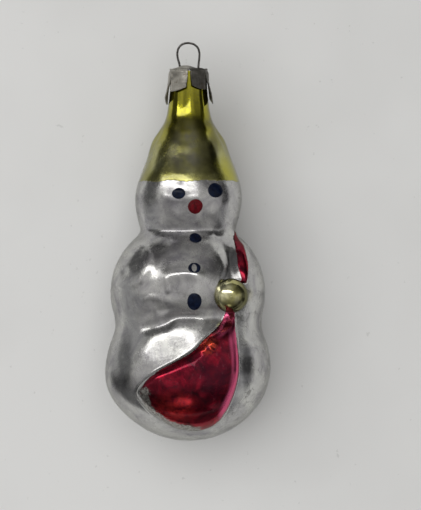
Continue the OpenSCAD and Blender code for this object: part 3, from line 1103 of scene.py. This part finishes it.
# ---------------------------------------------------------------- stage, light and camera
# In metres, apart from the cards, whose corners and levels are in millimetres.
VIEW_DISTANCE = 0.70
VIEW_HEIGHT = 0.1306
AIM = (0.0056, 0.0, -0.054)
FLOOR_Y = CAD_BOX[1][1] + 0.0004
TABLE_HALF = 1.2


def floor():
    """A pale table behind the ornament, which lies on its back; seen from behind, it isn't there."""
    n = Nodes("pale_table")
    paper = n.ramp(n.noise(60, 3), (0.35, (0.600, 0.600, 0.590)), (0.65, (0.640, 0.640, 0.630)))
    specks = n.between(n.noise(1.6, 2), 0.73, 0.76)
    paper = n.stain(paper, specks, 0.25, (0.30, 0.30, 0.29))
    behind = n.add("ShaderNodeNewGeometry").outputs["Backfacing"]
    front, back = n.shader("ShaderNodeBsdfDiffuse", paper), n.shader("ShaderNodeBsdfTransparent")
    n.link(n.mix_shader(behind, front, back), n.output.inputs["Surface"])
    half = TABLE_HALF
    corners = [(-half, FLOOR_Y, -half), (half, FLOOR_Y, -half), (half, FLOOR_Y, half), (-half, FLOOR_Y, half)]
    placed("table", new_mesh("table", corners, [(0, 1, 2, 3)], n.material))


def area_light(name, towards, distance, width, height, power, colour=(1, 1, 1)):
    """A soft rectangular light, in a direction from the ornament and facing it."""
    light = bpy.data.lights.new(name, "AREA")
    light.shape = "RECTANGLE"
    light.size, light.size_y = width, height
    light.energy = power
    light.color = colour
    lamp = placed(name, light)
    way = np.array(towards, float)
    way /= np.linalg.norm(way)
    lamp.location = np.array(AIM) + way * distance
    lamp.rotation_euler = Vector(way).to_track_quat("Z", "Y").to_euler()
    return lamp


ROOM_LEVELS = [  # elevation in degrees, brightness
    (-90, 0.14), (-40, 0.19), (-20, 0.40), (4, 0.52), (24, 0.46), (38, 0.22), (50, 0.20), (66, 0.32),
    (90, 0.26),
]


def room():
    """A plain room: a dim middle in front, a dark band near the table's horizon, pale to the camera's eye."""
    n = Nodes("room", world=True)
    bpy.context.scene.world = n.material
    facing = n.between(n.axis("Y"), -0.50, -0.05, 1.0, 0.45)
    stops = [(0.5 + 0.5 * math.sin(math.radians(elevation)), level) for elevation, level in ROOM_LEVELS]
    height = n.ramp(n.math("MULTIPLY_ADD", n.axis("Z"), 0.5, 0.5), *stops)
    cloud = n.between(n.noise(435, 3, 0.5), 0.3, 0.7, 0.7, 1.3)
    right = n.between(n.axis("X"), 0.25, 0.70, 0.0, 0.65)
    above = n.between(n.axis("Z"), 0.05, 0.45)
    shade = n.math("SUBTRACT", 1.0, n.math("MULTIPLY", right, above))
    level = n.math("MULTIPLY", n.math("MULTIPLY", facing, height), n.math("MULTIPLY", cloud, shade))
    seen_in_gloss = n.shader("ShaderNodeBackground", n.mix(1, level, (1.0, 0.985, 0.97), "MULTIPLY"))
    seen_by_camera = n.shader("ShaderNodeBackground", (0.60, 0.60, 0.59))
    direct = n.add("ShaderNodeLightPath").outputs["Is Camera Ray"]
    n.link(n.mix_shader(direct, seen_in_gloss, seen_by_camera), n.output.inputs["Surface"])


def lights():
    """A long window at the left above, which only gloss mirrors, and a broad glow that lights the table."""
    window = area_light("window", (-0.41, -0.755, 0.515), 0.60, 0.86, 0.13, 0.95, (1.0, 0.99, 0.97))
    window.visible_diffuse = False
    glow = area_light("ceiling_glow", (-0.24, -0.96, 0.06), 1.20, 1.40, 1.40, 14.2)
    glow.visible_glossy = False


LEFT_LEVELS = [(-190, 0.14), (-88, 0.10), (-80, 0.34), (-52, 0.42), (-44, 0.10), (40, 0.04)]
RIGHT_LEVELS = [
    (-180, 0.36), (-97, 0.34), (-90, 0.09), (-75, 0.09), (-70, 0.30), (-50, 0.24), (-42, 0.05), (30, 0.02),
]
LOW_LEVELS = [(-157, 0.12), (-150, 0.14)]
CARD_FADE = 0.008  # metres over which a card's front and back edges fade
BOUNCE = (-8, -52, -150)


def dark_card(name, corners, levels):
    """A dark card which only the gloss of the ornament sees: it stands for what is round a table.

    Its levels are pairs of a height in millimetres and a brightness.
    """
    n = Nodes(name)
    low, high = levels[0][0], levels[-1][0]
    along = n.add("ShaderNodeMapRange")
    n.link(n.axis("Z"), along.inputs[0])
    along.inputs[1].default_value = low * MM
    along.inputs[2].default_value = high * MM
    base = n.ramp(along.outputs[0], *[((z - low) / (high - low), level) for z, level in levels])
    shade = n.mix(1.0, base, n.ramp(n.noise(40, 2), (0.3, 0.7), (0.7, 1.3)), "MULTIPLY")
    back, front = max(y for _, y, _ in corners) * MM, min(y for _, y, _ in corners) * MM
    behind = n.between(n.axis("Y"), back - CARD_FADE, back, 1.0, 0.0)
    before = n.between(n.axis("Y"), front, front + CARD_FADE)
    clear, glow = n.shader("ShaderNodeBsdfTransparent"), n.shader("ShaderNodeEmission", shade)
    n.link(n.mix_shader(n.math("MULTIPLY", behind, before), clear, glow), n.output.inputs["Surface"])
    card_object(name, corners, n.material)


def card_object(name, corners, material):
    """A four-cornered card that only reflections see."""
    card = placed(name, new_mesh(name, np.array(corners) * MM, [(0, 1, 2, 3)], material))
    card.visible_camera = False
    card.visible_diffuse = False
    card.visible_shadow = False
    card.visible_transmission = False


def dark_cards():
    """Cards beside and below the ornament, which close the pale table in and leave pale rims on the glass."""
    left = [(-42, 10, -190), (-42, 10, 40), (-44, -24, 40), (-44, -24, -190)]
    right = [(66, 3, -180), (66, 3, 30), (68, -31, 30), (68, -31, -180)]
    low = [(-120, 12, -150), (120, 12, -150), (120, -18, -156), (-120, -18, -156)]
    dark_card("left_card", left, LEFT_LEVELS)
    dark_card("right_card", right, RIGHT_LEVELS)
    dark_card("low_card", low, LOW_LEVELS)


def bounce_card():
    """A pale patch below in front of the ornament, which only the gloss of the sack's foot mirrors."""
    n = Nodes("bounce_card")
    patch = n.near(BOUNCE, 4.0, 20.0, (0.8, 1, 1))
    level = n.math("MULTIPLY", patch, n.between(n.noise(14, 3), 0.35, 0.6, 0.35, 1.0))
    glow = n.shader("ShaderNodeEmission", n.mix(level, (0.13, 0.13, 0.13), (0.95, 0.90, 0.86)))
    n.link(glow, n.output.inputs["Surface"])
    x, y, z = BOUNCE
    near = [(x - 30, y - 20, z + 8), (x + 30, y - 20, z + 8)]
    far = [(x + 30, y + 20, z - 8), (x - 30, y + 20, z - 8)]
    card_object("bounce_card", near + far, n.material)


def camera():
    """The photo's view: straight down on the ornament's face, from well back."""
    data = bpy.data.cameras.new("camera")
    data.sensor_fit = "VERTICAL"
    data.sensor_height = 24.0
    data.lens = data.sensor_height * VIEW_DISTANCE / VIEW_HEIGHT
    data.clip_start = 0.01
    data.clip_end = 20.0
    eye = placed("camera", data)
    eye.location = (AIM[0], AIM[1] - VIEW_DISTANCE, AIM[2])
    eye.rotation_euler = (math.pi / 2, 0.0, 0.0)
    bpy.context.scene.camera = eye


def glass_and_coats():
    """The silvered body, its clear lip, and the lacquers that follow it."""
    outer = outer_grid()
    glass_body(outer)
    glass_lip()
    hat_span = (LIP_Z - 0.2, BRIM_Z - 2)
    coat("hat_coat", outer, hat_field, hat_span, hat_material(), ("hat_lacquer",))
    red = red_material("red_lacquer", True)
    sack, points = coat("sack_coat", outer, sack_field, (-65.5, -100), red, ("sack_lacquer",))
    add_wear(sack, points)
    red = red_material("red_lacquer_mouth", False)
    coat("sack_mouth_coat", outer, mouth_field, (-44, -63), red, ("sack_mouth_lacquer",))
    mitten()


def face_and_buttons():
    """The enamel dabs, each with its own seed."""
    paint = {
        "navy_enamel": enamel_material("navy_enamel", (0.0012, 0.0022, 0.008), (0.003, 0.008, 0.026)),
        "red_enamel": enamel_material("red_enamel", (0.035, 0.0005, 0.002), (0.13, 0.0018, 0.006)),
    }
    for seed, (name, node, x, z, width, height, slot, bare) in enumerate(DABS, 1):
        dab(name, x, z, width, height, paint[slot], (node,), seed, bare)


def build():
    camera()
    floor()
    room()
    lights()
    dark_cards()
    bounce_card()
    bpy.context.scene.view_settings.view_transform = "Standard"
    glass_and_coats()
    face_and_buttons()
    crown_cap()
    hanger()


build()
